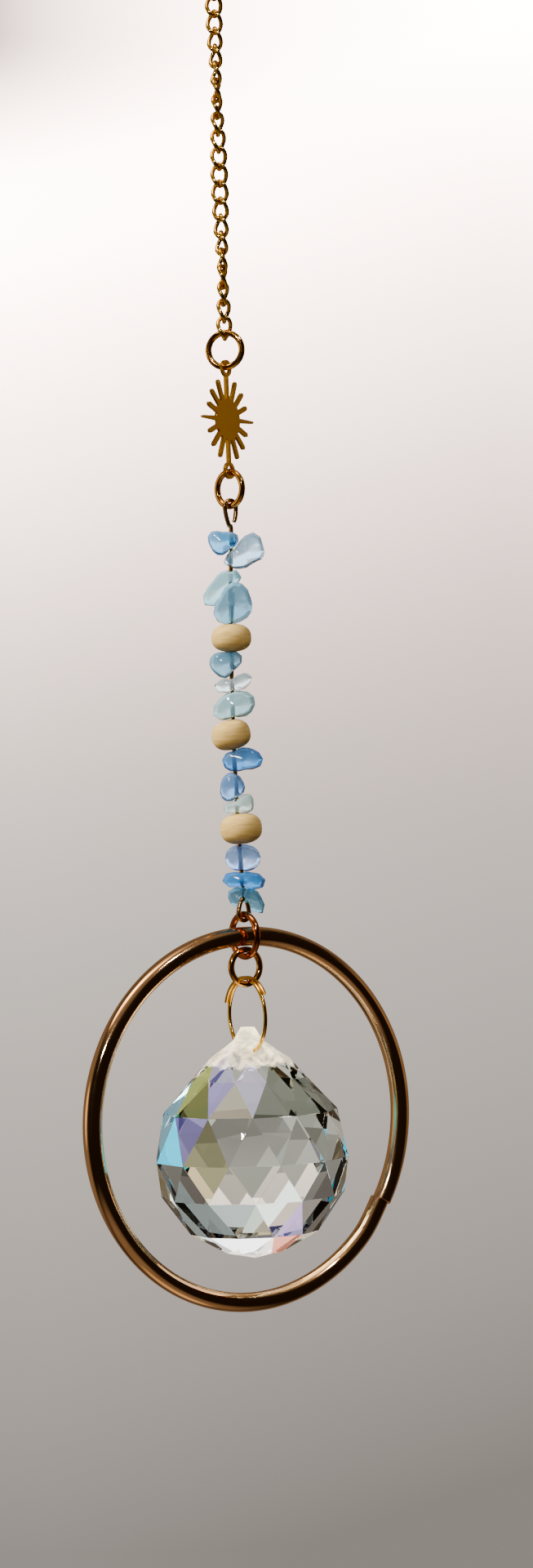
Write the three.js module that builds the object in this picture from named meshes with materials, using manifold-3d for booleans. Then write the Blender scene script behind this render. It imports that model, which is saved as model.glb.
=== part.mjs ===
// A hanging suncatcher: a ring and a fine curb chain, a small sun, a wire pin threaded with stone chips and
// wooden beads, a gilt hoop, and a faceted crystal ball that hangs in the middle of the hoop.
// Millimetres. The origin is where the hanging ring rests on its hook, +Z is up and the hoop stands in the XZ
// plane. Every piece hangs on the one above it, so each height is worked out from the top down.
import * as THREE from 'three';
import { ConvexGeometry } from 'three/addons/geometries/ConvexGeometry.js';
import { mergeVertices } from 'three/addons/utils/BufferGeometryUtils.js';
import Module from 'manifold-3d';

const wasm = await Module();
wasm.setup();

// Clearances
const CONTACT = 0.08; // left where one wire rests on another
const LINK_CONTACT = 0.19; // the same at a chain link, whose narrow ends hold the next wire at its sides
const EYELET_CONTACT = 0.13; // the same at the sun's eyelets, whose edges are square
const THREAD_ROOM = 0.15; // around the pin in a drilled stone or bead

// Hanging ring and curb chain
const HANGING_RING = { outer: 12, wire: 0.95, turn: 24 };
const LINK = { length: 4.05, width: 2.74, wire: 0.6, count: 21, twist: 90 };
const CHAIN_TURN = { last: 2.8, step: 16.8 }; // the lowest link, and how far each one above it turns on

// Jump rings, from the top down
const JUMP_RING = { outer: 6.4, wire: 1 };
const UPPER_TURN = -48;
const MIDDLE_TURN = -77;
const LOWER_TURN = 2;
const HOOP_RING = { outer: 7.65, wire: 1.05, turn: -86 };

// Sun
const SUN = {
  disc: 6.5, thickness: 0.5, turn: 24, rayWidth: 0.75, tipWidth: 0.4,
  reach: { side: 7.15, low: 5.85, middle: 6.2, high: 6.55 },
  eyeletOuter: 2.7, eyeletHole: 1.6, eyeletCentre: 8,
};

// Eye pin: a round wire with an open loop at both ends
const PIN = {
  wire: 0.7, loopWidth: 2.8, upperLoop: 4.75, lowerLoop: 3.95, upperTurn: 0, lowerTurn: 4, bow: 0.7,
  cutEnd: 0.3, boreEnd: 0.1, // how far along a loop its wire ends, and the thread hole that is cut for it
};

// Hoop, bent from a rod so that its two ends meet in a seam
const HOOP = { outer: 60, rod: 3, seamAngle: -31.5, seamGap: 0.12, seamStep: 0.4, settle: 14 };

// Wire ring of the crystal: a little over one turn
const CRYSTAL_RING = { outer: 12.2, wire: 0.62, turn: -92, startAngle: 162, turns: 1.35 };

// Crystal ball
const BALL = {
  radius: 15.4, sides: 12, firstCorner: 14, rows: [-71.5, -48, -22, 0, 28, 53.5], culetDrop: 0.3,
  shoulderRadius: 6.4, shoulderHeight: 15.3, nubSides: 6, nubRadius: 2.4, nubHeight: 18.2, nubTopRadius: 1.1,
  nubRise: 2.1, nubSink: 1,
};
const BALL_BORE = { radius: 0.8, throat: 1.2, flareEnd: 2.2, mouthRadius: 1.8, belowNub: 2.05 };

// Stone chips and wooden beads as they are threaded, from the top down. They face the front left corner.
// A chip's front outline is a circle with lobes: [how many, how deep, towards which angle]. step is how far
// its middle lies below the middle of the piece above, x how far beside the string and back how far behind
// it, and lean how far it slopes back for each millimetre to the right and upwards.
const FACING = -33;
const STRING = [
  { name: 'chip_01_sky_blue', radius: 2.11, depth: 3.2, step: 2.09, x: -1.42, back: -0.2,
    lobes: [[2, 0.13, 5], [3, 0.15, 19]] },
  { name: 'chip_02_clear_blue', radius: 2.72, depth: 3.2, step: 1.75, x: 2.16, back: 0.1,
    lobes: [[1, 0.04, 351], [2, 0.28, 38], [3, 0.12, 86], [5, 0.07, 58]] },
  { name: 'chip_03_pale_aqua', radius: 2.38, depth: 2.2, step: 5.2, x: -1.85, back: 0.98,
    lean: [-0.25, -0.25],
    lobes: [[1, 0.05, 115], [2, 0.48, 42], [3, 0.08, 2], [4, 0.09, 38], [5, 0.06, 20]] },
  { name: 'chip_04_blue_grey', radius: 3.1, depth: 3.0, step: 2.92, x: 0, back: -0.8, lean: [0.1, -0.25],
    lobes: [[2, 0.12, 57], [3, 0.09, 90]] },
  { name: 'bead_01_wood', width: 6.2, height: 4.2, step: 5.13, x: -0.5, tilt: 0 },
  { name: 'chip_05_teal_heart', radius: 2.27, depth: 3.2, step: 3.97, x: -1.61, back: 0,
    lobes: [[2, 0.13, 19], [3, 0.14, 27], [4, 0.04, 14]] },
  { name: 'chip_06_clear_wing', radius: 1.81, depth: 3, step: 3.3, x: -0.27, back: 0.1,
    lobes: [[1, 0.08, 106], [2, 0.56, 13], [3, 0.14, 51], [4, 0.1, 13], [5, 0.06, 36]] },
  { name: 'chip_07_grey_teal', radius: 2.69, depth: 3.6, step: 3.28, x: -0.39, back: 0,
    lobes: [[2, 0.26, 15], [3, 0.07, 91], [4, 0.05, 25]] },
  { name: 'bead_02_wood', width: 6, height: 4.6, step: 4.6, x: -1.05, tilt: 11 },
  { name: 'chip_08_deep_blue', radius: 2.41, depth: 3.6, step: 3.93, x: 0.57, back: 0,
    lobes: [[2, 0.31, 5], [3, 0.05, 95], [4, 0.04, 84]] },
  { name: 'chip_09_blue_drop', radius: 2.1, depth: 3.2, step: 4.22, x: -1.22, back: 0,
    lobes: [[2, 0.1, 71], [3, 0.07, 109], [4, 0.03, 72]] },
  { name: 'chip_10_pale_crescent', radius: 1.76, depth: 3.4, step: 2.89, x: -0.03, back: 0.1,
    lobes: [[1, 0.08, 348], [2, 0.4, 17], [3, 0.16, 71], [4, 0.06, 13], [5, 0.11, 46]] },
  { name: 'bead_03_wood', width: 6.4, height: 4.75, step: 3.66, x: 0.04, tilt: 4 },
  { name: 'chip_11_lavender_blue', radius: 2.5, depth: 2.6, step: 4.58, x: 0.16, back: 0.2,
    lobes: [[2, 0.14, 178]] },
  { name: 'chip_12_deep_blue_disc', radius: 2.05, depth: 4.4, step: 3.5, x: 0.23, back: 0,
    lobes: [[1, 0.06, 61], [2, 0.56, 174], [3, 0.06, 73], [4, 0.12, 84]] },
  { name: 'chip_13_teal_saddle', radius: 2.2, depth: 2.6, step: 2.6, x: 0.18, back: 0.8, lean: [0, -0.8],
    lobes: [[1, 0.14, 317], [2, 0.42, 161], [3, 0.2, 80], [4, 0.14, 43], [5, 0.1, 18]] },
];
const LOWER_LOOP_STEP = 0.06; // from the last chip's middle down to the lower loop
const BEAD_FULLNESS = 2.5; // two would be an ellipse, more is squarer

// Facets of the round forms
const FACETS = {
  linkSides: 5, linkSteps: 10, ringSides: 6, ringSteps: 20, hangingSides: 7, hangingSteps: 24,
  hoopSides: 8, hoopSteps: 80, coilSides: 5, coilSteps: 44, chipAround: 16, chipAcross: 4, beadAround: 12,
  beadProfile: 6, boreSides: 6, eyeletSides: 10, pinSides: 6, rayEnd: 3, ballBoreAround: 12,
};

const gold = (color, roughness) => new THREE.MeshStandardMaterial({ color, roughness, metalness: 1 });
const glassy = (color, opacity) => new THREE.MeshStandardMaterial({
  color, roughness: 0.08, metalness: 0, transparent: true, opacity,
});
const CHAIN_GOLD = gold(0xd9a441, 0.2);
const RING_GOLD = gold(0xc08a3a, 0.18);
const PIN_BRASS = gold(0x8a6a3a, 0.25);
const SUN_BRASS = gold(0x8f5f14, 0.3);
const ROSE_GOLD = gold(0xb5623a, 0.18);
const HOOP_GOLD = gold(0xc79a6a, 0.16);
const CRYSTAL_GLASS = glassy(0xdfe6ea, 0.35);
const BEECH = new THREE.MeshStandardMaterial({ color: 0xc9a15f, roughness: 0.6, metalness: 0 });
const STONE = {
  chip_01_sky_blue: glassy(0x5fa9d6, 0.8), chip_02_clear_blue: glassy(0xb9d3e6, 0.5),
  chip_03_pale_aqua: glassy(0xa9ccd2, 0.7), chip_04_blue_grey: glassy(0x7fa6bf, 0.85),
  chip_05_teal_heart: glassy(0x5f95ad, 0.85), chip_06_clear_wing: glassy(0xd3dde2, 0.45),
  chip_07_grey_teal: glassy(0x98b4bb, 0.85), chip_08_deep_blue: glassy(0x3f78b0, 0.85),
  chip_09_blue_drop: glassy(0x7c9fc4, 0.7), chip_10_pale_crescent: glassy(0xb3c2be, 0.8),
  chip_11_lavender_blue: glassy(0xa8b8cf, 0.7), chip_12_deep_blue_disc: glassy(0x4a86c8, 0.85),
  chip_13_teal_saddle: glassy(0x82aeb9, 0.75),
};

const radians = THREE.MathUtils.degToRad;
const suncatcher = new THREE.Group();

// Solids

function closed(geometry) {
  const bare = geometry.index ? geometry : geometry.clone();
  bare.deleteAttribute('normal');
  bare.deleteAttribute('uv');
  return mergeVertices(bare, 1e-4);
}

function toSolid(geometry) {
  const mesh = closed(geometry);
  return new wasm.Manifold(new wasm.Mesh({
    numProp: 3,
    vertProperties: new Float32Array(mesh.attributes.position.array),
    triVerts: new Uint32Array(mesh.index.array),
  }));
}

function fromSolid(solid) {
  const mesh = solid.getMesh();
  const geometry = new THREE.BufferGeometry();
  geometry.setAttribute('position', new THREE.BufferAttribute(new Float32Array(mesh.vertProperties), 3));
  geometry.setIndex(new THREE.BufferAttribute(new Uint32Array(mesh.triVerts), 1));
  return geometry;
}

function cut(geometry, ...cutters) {
  return fromSolid(cutters.reduce((solid, cutter) => solid.subtract(toSolid(cutter)), toSolid(geometry)));
}

function addPiece(name, geometry, material, { z = 0, turn = 0, group = suncatcher } = {}) {
  const mesh = new THREE.Mesh(closed(geometry), material);
  mesh.name = name;
  mesh.position.z = z;
  mesh.rotation.z = radians(turn);
  group.add(mesh);
  return mesh;
}

// A ring of round wire standing in the XZ plane
function uprightRing({ outer, wire }, sides, steps) {
  return new THREE.TorusGeometry(outer / 2 - wire / 2, wire / 2, sides, steps).rotateX(Math.PI / 2);
}

// A round section for a wire or rod that is swept along a path
function roundSection(radius, sides) {
  const corner = (i) => new THREE.Vector2(
    radius * Math.cos((2 * Math.PI * i) / sides), radius * Math.sin((2 * Math.PI * i) / sides));
  return new THREE.Shape(Array.from({ length: sides }, (_, i) => corner(i)));
}

// A smooth path whose stations are its own points, so that they can lie closer together in a tight bend
class StationPath extends THREE.CatmullRomCurve3 {
  getUtoTmapping(u) {
    return u;
  }
}

function sweep(points, radius, sides) {
  return new THREE.ExtrudeGeometry(roundSection(radius, sides), {
    steps: points.length - 1, extrudePath: new StationPath(points),
  });
}

// The height of a hanging piece's top, when its upper strand rests on the height `rest`
const topOn = (rest, strand, contact = CONTACT) => rest + contact + strand;

// Hanging ring, with the origin at the top of its hole
const hangingCentre = HANGING_RING.wire - HANGING_RING.outer / 2;
addPiece('hanging_ring', uprightRing(HANGING_RING, FACETS.hangingSides, FACETS.hangingSteps), CHAIN_GOLD,
  { z: hangingCentre, turn: HANGING_RING.turn });
let rest = hangingCentre - HANGING_RING.outer / 2 + HANGING_RING.wire;

// Curb chain: each link is an oval of wire twisted so that its two ends stand square to each other
class TwistedOval extends THREE.Curve {
  getPoint(t) {
    const angle = 2 * Math.PI * t;
    const across = ((LINK.width - LINK.wire) / 2) * Math.sin(angle);
    const height = Math.cos(angle);
    const twist = radians((-LINK.twist / 2) * height);
    return new THREE.Vector3(across * Math.cos(twist), across * Math.sin(twist),
      ((LINK.length - LINK.wire) / 2) * height);
  }
}
const linkShape = new THREE.TubeGeometry(
  new TwistedOval(), FACETS.linkSteps, LINK.wire / 2, FACETS.linkSides, true);
for (let i = 0; i < LINK.count; i++) {
  const top = topOn(rest, LINK.wire, LINK_CONTACT);
  const turn = CHAIN_TURN.last + CHAIN_TURN.step * (LINK.count - 1 - i);
  addPiece(`chain_link_${String(i + 1).padStart(2, '0')}`, linkShape.clone(), CHAIN_GOLD,
    { z: top - LINK.length / 2, turn });
  rest = top - LINK.length + LINK.wire;
}

// Jump rings
function hangJumpRing(name, size, turn, material, contact = CONTACT) {
  const top = topOn(rest, size.wire, contact);
  addPiece(name, uprightRing(size, FACETS.ringSides, FACETS.ringSteps), material,
    { z: top - size.outer / 2, turn });
  rest = top - size.outer + size.wire;
  return top;
}
hangJumpRing('jump_ring_upper', JUMP_RING, UPPER_TURN, RING_GOLD, LINK_CONTACT);

// Sun: a flat plate cut with rays and with an eyelet above and below
function ray(angle, reach, halfBase, halfTip) {
  const out = new THREE.Vector2(Math.cos(angle), Math.sin(angle));
  const side = new THREE.Vector2(-out.y, out.x);
  const at = (along, across) => out.clone().multiplyScalar(along).addScaledVector(side, across);
  const root = Math.sqrt((SUN.disc / 2) ** 2 - halfBase ** 2);
  const points = [at(root, -halfBase)];
  for (let i = 0; i <= FACETS.rayEnd; i++) {
    const round = Math.PI * (i / FACETS.rayEnd - 0.5);
    points.push(at(reach - halfTip + halfTip * Math.cos(round), halfTip * Math.sin(round)));
  }
  points.push(at(root, halfBase));
  return points;
}

function sunOutline() {
  const { side, low, middle, high } = SUN.reach;
  const reaches = [side, low, middle, high]; // from a side ray up towards the eyelet, 22.5 degrees apart
  const outline = [];
  for (let i = 0; i < 16; i++) {
    const angle = (Math.PI / 8) * i;
    const step = Math.min(i % 8, 8 - (i % 8));
    const upright = step === 4;
    const reach = upright ? SUN.eyeletCentre : reaches[step];
    const tip = step === 0 ? SUN.tipWidth : SUN.rayWidth;
    outline.push(...ray(angle, reach, SUN.rayWidth / 2, tip / 2));
  }
  return outline;
}

function sunPlate() {
  const flat = { depth: SUN.thickness, bevelEnabled: false };
  const centred = (shape, options) => new THREE.ExtrudeGeometry(shape, { ...flat, ...options })
    .translate(0, 0, -SUN.thickness / 2).rotateX(Math.PI / 2);
  const circle = (z, diameter) => new THREE.Shape().absarc(0, z, diameter / 2, 0, 2 * Math.PI);
  let plate = toSolid(centred(new THREE.Shape(sunOutline())));
  for (const z of [SUN.eyeletCentre, -SUN.eyeletCentre]) {
    plate = plate.add(toSolid(centred(circle(z, SUN.eyeletOuter), { curveSegments: FACETS.eyeletSides })));
    const hole = new THREE.CylinderGeometry(
      SUN.eyeletHole / 2, SUN.eyeletHole / 2, 2 * SUN.thickness, FACETS.eyeletSides).translate(0, 0, z);
    plate = plate.subtract(toSolid(hole));
  }
  return fromSolid(plate);
}
const eyeletBand = (SUN.eyeletOuter - SUN.eyeletHole) / 2;
const sunHalf = SUN.eyeletCentre + SUN.eyeletOuter / 2;
const sunCentre = topOn(rest, eyeletBand, EYELET_CONTACT) - sunHalf;
addPiece('sun_charm', sunPlate(), SUN_BRASS, { z: sunCentre, turn: SUN.turn });
rest = sunCentre - sunHalf + eyeletBand;
hangJumpRing('jump_ring_middle', JUMP_RING, MIDDLE_TURN, RING_GOLD, EYELET_CONTACT);

// Threaded string: the pin's stem is as long as its stones and beads need
const pinTop = topOn(rest, PIN.wire);
const stemTop = pinTop - PIN.upperLoop;
let middle = stemTop;
for (const item of STRING) {
  middle -= item.step;
  item.middle = middle;
}
const stemBottom = middle - LOWER_LOOP_STEP;
const pinBottom = stemBottom - PIN.lowerLoop;

const stringGroup = new THREE.Group();
stringGroup.rotation.z = radians(FACING);
suncatcher.add(stringGroup);

// The stem bows a little to the left of the string's face
function stemPoint(z) {
  const along = THREE.MathUtils.clamp((stemTop - z) / (stemTop - stemBottom), 0, 1);
  return new THREE.Vector3(-PIN.bow * Math.sin(Math.PI * along), 0, z);
}
function stemPoints(from, to, count) {
  return Array.from({ length: count + 1 }, (_, i) => stemPoint(from + ((to - from) * i) / count));
}

// One open loop, from the stem round to the wire's cut end. Its length is negative for the one at the bottom.
function loopPoints(end, length, turn, cutEnd) {
  const radius = (PIN.loopWidth - PIN.wire) / 2;
  const eye = Math.abs(length) - PIN.wire / 2 - radius;
  const local = [[-0.32 * radius, 0.12 * eye], [-0.72 * radius, 0.5 * eye]];
  for (let degrees = 190; degrees >= -10; degrees -= 25) {
    local.push([radius * Math.cos(radians(degrees)), eye + radius * Math.sin(radians(degrees))]);
  }
  local.push([0.8 * radius, 0.5 * eye], [(0.25 + cutEnd) * radius, cutEnd * eye]);
  const spin = radians(turn - FACING);
  const place = ([x, z]) => new THREE.Vector3(
    x * Math.cos(spin), x * Math.sin(spin), end + Math.sign(length) * z);
  return local.map(place);
}
const pinPath = (cutEnd) => [
  ...loopPoints(stemTop, PIN.upperLoop, PIN.upperTurn, cutEnd).reverse(),
  ...stemPoints(stemTop, stemBottom, 12),
  ...loopPoints(stemBottom, -PIN.lowerLoop, PIN.lowerTurn, cutEnd),
];
addPiece('eye_pin', sweep(pinPath(PIN.cutEnd), PIN.wire / 2, FACETS.pinSides), PIN_BRASS,
  { group: stringGroup });
const threadHole = sweep(pinPath(PIN.boreEnd), PIN.wire / 2 + THREAD_ROOM, FACETS.boreSides);

// A tumbled chip: the lobed outline, rounded over to the front and to the back
function chipShape(item) {
  const outline = (angle) => item.radius * item.lobes.reduce(
    (sum, [count, depth, towards]) => sum + depth * Math.cos(count * (angle - radians(towards))), 1);
  const geometry = new THREE.SphereGeometry(1, FACETS.chipAround, FACETS.chipAcross);
  const place = geometry.attributes.position;
  const [leanX, leanZ] = item.lean ?? [0, 0];
  for (let i = 0; i < place.count; i++) {
    const angle = Math.atan2(place.getZ(i), place.getX(i));
    const reach = Math.hypot(place.getX(i), place.getZ(i)) ** 0.6 * outline(angle);
    const x = reach * Math.cos(angle);
    const z = reach * Math.sin(angle);
    const face = Math.sign(place.getY(i)) * Math.abs(place.getY(i)) ** 0.8;
    place.setXYZ(i, x, (face * item.depth) / 2 + leanX * x + leanZ * z, z);
  }
  return geometry;
}

// A turned wooden bead, fuller than a ball, so that its two ends are nearly flat
function beadShape(item) {
  const soft = (value) => Math.sign(value) * Math.abs(value) ** (2 / BEAD_FULLNESS);
  const profile = Array.from({ length: FACETS.beadProfile + 1 }, (_, i) => {
    const angle = Math.PI * (i / FACETS.beadProfile - 0.5);
    const reach = i % FACETS.beadProfile === 0 ? 0 : soft(Math.cos(angle));
    return new THREE.Vector2((item.width / 2) * reach, (item.height / 2) * soft(Math.sin(angle)));
  });
  return new THREE.LatheGeometry(profile, FACETS.beadAround)
    .rotateX(Math.PI / 2).rotateY(radians(-item.tilt));
}

for (const item of STRING) {
  const shape = item.lobes ? chipShape(item) : beadShape(item);
  shape.translate(item.x, item.back ?? 0, item.middle);
  addPiece(item.name, cut(shape, threadHole), STONE[item.name] ?? BEECH, { group: stringGroup });
}

// Hoop, its jump ring and the jump ring below, whose top strand lies under the hoop's rod
rest = pinBottom + PIN.wire;
hangJumpRing('jump_ring_hoop', HOOP_RING, HOOP_RING.turn, ROSE_GOLD);
const lowerTop = hangJumpRing('jump_ring_lower', JUMP_RING, LOWER_TURN, RING_GOLD);
const hoopCentre = lowerTop + CONTACT + HOOP.rod - HOOP.outer / 2;

function hoopPath() {
  const radius = (HOOP.outer - HOOP.rod) / 2;
  const halfGap = (90 * HOOP.seamGap) / (Math.PI * radius);
  const start = HOOP.seamAngle + halfGap;
  const sweepAngle = 360 - 2 * halfGap;
  return Array.from({ length: FACETS.hoopSteps + 1 }, (_, i) => {
    const turned = (sweepAngle * i) / FACETS.hoopSteps;
    const toEnd = THREE.MathUtils.smoothstep(turned, sweepAngle - HOOP.settle, sweepAngle);
    const reach = radius - HOOP.seamStep * toEnd;
    const angle = radians(start + turned);
    return new THREE.Vector3(reach * Math.cos(angle), 0, reach * Math.sin(angle));
  });
}
addPiece('hoop', sweep(hoopPath(), HOOP.rod / 2, FACETS.hoopSides), HOOP_GOLD, { z: hoopCentre });

// Wire ring of the crystal: its ends overlap side by side across the top
function coilPath() {
  const radius = (CRYSTAL_RING.outer - CRYSTAL_RING.wire) / 2;
  const spread = (CRYSTAL_RING.wire + CONTACT) * CRYSTAL_RING.turns;
  return Array.from({ length: FACETS.coilSteps + 1 }, (_, i) => {
    const along = i / FACETS.coilSteps;
    const angle = radians(CRYSTAL_RING.startAngle - 360 * CRYSTAL_RING.turns * along);
    return new THREE.Vector3(radius * Math.cos(angle), spread * (along - 0.5), radius * Math.sin(angle));
  });
}
// The two strands lie on the lower jump ring's curve, a little above its lowest point
const holeRadius = JUMP_RING.outer / 2 - JUMP_RING.wire;
const strandReach = CRYSTAL_RING.wire + CONTACT;
const curveRise = holeRadius - Math.sqrt(holeRadius ** 2 - strandReach ** 2);
const coilTop = topOn(rest, CRYSTAL_RING.wire) + curveRise;
addPiece('crystal_ring', sweep(coilPath(), CRYSTAL_RING.wire / 2, FACETS.coilSides), CHAIN_GOLD,
  { z: coilTop - CRYSTAL_RING.outer / 2, turn: CRYSTAL_RING.turn });

// Crystal ball: rows of corners round it, each row half a step on from the last, joined by flat facets
function corners(radius, height, sides, first) {
  return Array.from({ length: sides }, (_, i) => {
    const angle = radians(first + (360 * i) / sides);
    return new THREE.Vector3(radius * Math.cos(angle), radius * Math.sin(angle), height);
  });
}

const boreHeight = BALL.nubHeight - BALL_BORE.belowNub;
function crystalShape() {
  const step = 360 / BALL.sides;
  const points = [new THREE.Vector3(0, 0, -BALL.radius - BALL.culetDrop)];
  BALL.rows.forEach((latitude, row) => {
    const first = BALL.firstCorner + (row % 2 === 1 ? 0 : step / 2);
    const reach = BALL.radius * Math.cos(radians(latitude));
    const height = BALL.radius * Math.sin(radians(latitude));
    points.push(...corners(reach, height, BALL.sides, first));
  });
  points.push(...corners(BALL.shoulderRadius, BALL.shoulderHeight, BALL.sides, BALL.firstCorner + step / 2));
  points.push(...corners(BALL.nubRadius, BALL.nubHeight, BALL.nubSides, BALL.firstCorner));
  const nub = new ConvexGeometry([
    ...corners(BALL.nubRadius, BALL.nubHeight - BALL.nubSink, BALL.nubSides, BALL.firstCorner),
    ...corners(BALL.nubRadius, BALL.nubHeight, BALL.nubSides, BALL.firstCorner),
    ...corners(BALL.nubTopRadius, BALL.nubHeight + BALL.nubRise, BALL.nubSides, BALL.firstCorner),
  ]);
  const { radius, throat, flareEnd, mouthRadius } = BALL_BORE;
  const boreHalf = [
    new THREE.Vector2(0, -BALL.radius), new THREE.Vector2(mouthRadius, -BALL.radius),
    new THREE.Vector2(mouthRadius, -flareEnd), new THREE.Vector2(radius, -throat),
  ];
  const otherHalf = boreHalf.map((corner) => new THREE.Vector2(corner.x, -corner.y)).reverse();
  const bore = new THREE.LatheGeometry([...boreHalf, ...otherHalf], FACETS.ballBoreAround)
    .translate(0, 0, boreHeight);
  const body = toSolid(new ConvexGeometry(points)).add(toSolid(nub));
  return fromSolid(body.subtract(toSolid(bore)));
}
// The bore's throat is a short straight hole, so its ends meet the ring's curve a little above its lowest
// point
const coilHole = CRYSTAL_RING.outer / 2 - CRYSTAL_RING.wire;
const throatRise = coilHole - Math.sqrt(coilHole ** 2 - BALL_BORE.throat ** 2);
const boreTop = coilTop - CRYSTAL_RING.outer + CRYSTAL_RING.wire + throatRise + CONTACT;
addPiece('crystal_ball', crystalShape(), CRYSTAL_GLASS, { z: boreTop - BALL_BORE.radius - boreHeight });

export default suncatcher;
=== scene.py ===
# %% [markdown]
# A suncatcher: a fine chain, a small brass sun, a wire pin threaded with stone chips and wooden beads,
# a gilt hoop, and a cut crystal ball that hangs in the middle of the hoop.
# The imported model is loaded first. It is the frame: every piece below takes its place from it, so the
# dressed model and the solids stay in step. All lengths are in metres, in the same row frame.

# %% Load the frame
import math

import bmesh
import bpy
from mathutils import Matrix, Vector, noise


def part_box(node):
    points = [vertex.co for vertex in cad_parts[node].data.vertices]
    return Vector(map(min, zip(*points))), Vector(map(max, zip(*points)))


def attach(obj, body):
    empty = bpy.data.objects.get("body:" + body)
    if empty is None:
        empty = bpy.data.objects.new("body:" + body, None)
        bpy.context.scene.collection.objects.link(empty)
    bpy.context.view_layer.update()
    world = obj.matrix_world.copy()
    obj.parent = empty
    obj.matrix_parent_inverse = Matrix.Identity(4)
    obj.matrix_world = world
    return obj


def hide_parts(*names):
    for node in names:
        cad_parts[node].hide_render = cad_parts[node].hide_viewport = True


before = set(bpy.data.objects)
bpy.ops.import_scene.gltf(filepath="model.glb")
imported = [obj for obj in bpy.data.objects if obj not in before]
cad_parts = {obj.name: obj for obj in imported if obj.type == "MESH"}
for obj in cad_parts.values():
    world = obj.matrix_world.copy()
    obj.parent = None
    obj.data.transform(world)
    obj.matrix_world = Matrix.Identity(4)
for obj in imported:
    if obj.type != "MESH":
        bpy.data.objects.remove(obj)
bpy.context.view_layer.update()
print("solids:", len(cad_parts))


def mm(value):
    return value * 0.001


def middle_of(node):
    low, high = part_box(node)
    return (Vector(low) + Vector(high)) / 2


HOOP_OUTER = mm(60)
HOOP_ROD = mm(3)
hoop_centre = Vector((0, 0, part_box("hoop")[1][2] - HOOP_OUTER / 2))
print("hoop centre, mm below the hook:", round(-hoop_centre.z * 1000, 2))

# %% [markdown]
# The camera stands to the front left, a little above the hoop, about half a metre away. It is slightly
# rolled, so the string leans to the left in the picture. Its lens is long, and it is built from the three
# directions right, up and back.

# %% Camera
FACING = -33  # how far the camera's side of the piece is turned from the hoop's own front, in degrees
CAMERA_FROM_HOOP = Vector((mm(4.22), mm(-540.3), mm(48.94)))
CAMERA_PITCH = math.radians(0.34)
CAMERA_ROLL = math.radians(-1.9)
LENS = 79.43


def facing(x, y, z):
    """A point given to the right, away and up, as the camera stands, in the row frame."""
    return Matrix.Rotation(math.radians(FACING), 3, "Z") @ Vector((x, y, z))


forward = facing(0, math.cos(CAMERA_PITCH), math.sin(CAMERA_PITCH))
level_right = facing(1, 0, 0)
level_up = level_right.cross(forward)
right = level_right * math.cos(CAMERA_ROLL) + level_up * math.sin(CAMERA_ROLL)
up = level_up * math.cos(CAMERA_ROLL) - level_right * math.sin(CAMERA_ROLL)
camera_data = bpy.data.cameras.new("camera")
camera_data.sensor_width = 36
camera_data.lens = LENS
camera_data.clip_start = 0.01
camera = bpy.data.objects.new("camera", camera_data)
bpy.context.collection.objects.link(camera)
camera_place = hoop_centre + facing(*CAMERA_FROM_HOOP)
camera.matrix_world = Matrix(
    (
        (right.x, up.x, -forward.x, camera_place.x),
        (right.y, up.y, -forward.y, camera_place.y),
        (right.z, up.z, -forward.z, camera_place.z),
        (0, 0, 0, 1),
    )
)
bpy.context.scene.camera = camera
print("camera at", [round(v, 3) for v in camera_place])

# %% [markdown]
# A node tree in Blender is a list of nodes and links, and building one by hand repeats the same few calls.
# These helpers add a node with its values in one call, make a named group, and give back the shader of a
# new material, so that each finish below is only a few lines.

# %% Node helpers
GROUP_SOCKETS = {
    "color": "NodeSocketColor",
    "float": "NodeSocketFloat",
    "vector": "NodeSocketVector",
    "int": "NodeSocketInt",
    "geometry": "NodeSocketGeometry",
    "material": "NodeSocketMaterial",
}


def add_node(tree, kind, inputs=None, **settings):
    node = tree.nodes.new(kind)
    for name, value in settings.items():
        setattr(node, name, value)
    for name, value in (inputs or {}).items():
        if isinstance(value, bpy.types.NodeSocket):
            tree.links.new(value, node.inputs[name])
        else:
            node.inputs[name].default_value = value
    return node


def maths(tree, operation, first, second=0.0):
    return add_node(tree, "ShaderNodeMath", {0: first, 1: second}, operation=operation).outputs[0]


def mix_colors(tree, factor, first, second):
    node = add_node(tree, "ShaderNodeMix", {0: factor}, data_type="RGBA")
    for socket, value in ((node.inputs[6], first), (node.inputs[7], second)):
        if isinstance(value, bpy.types.NodeSocket):
            tree.links.new(value, socket)
        else:
            socket.default_value = value
    return node.outputs[2]


def spread(tree, value, low, high):
    """Stretches the part of a noise between low and high over 0 to 1."""
    node = add_node(tree, "ShaderNodeMapRange", {0: value, 1: low, 2: high})
    node.clamp = True
    return node.outputs[0]


print("sockets a group can have:", ", ".join(GROUP_SOCKETS))

# %% [markdown]
# A group is made once and then placed in each material with that material's own values.

# %% Group and material helpers


def new_group(name, kind, inputs, outputs):
    tree = bpy.data.node_groups.new(name, kind)
    for label, (socket, default) in inputs.items():
        made = tree.interface.new_socket(label, in_out="INPUT", socket_type=GROUP_SOCKETS[socket])
        if default is not None:
            made.default_value = default
    for label, socket in outputs.items():
        tree.interface.new_socket(label, in_out="OUTPUT", socket_type=GROUP_SOCKETS[socket])
    start = tree.nodes.new("NodeGroupInput").outputs
    end = tree.nodes.new("NodeGroupOutput").inputs
    return tree, start, end


def use_group(tree, group, **inputs):
    node = tree.nodes.new(tree.bl_idname.replace("NodeTree", "NodeGroup"))
    node.node_tree = group
    for name, value in inputs.items():
        socket = node.inputs[name.replace("_", " ")]
        if isinstance(value, bpy.types.NodeSocket):
            tree.links.new(value, socket)
        else:
            socket.default_value = value
    return node.outputs


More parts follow.
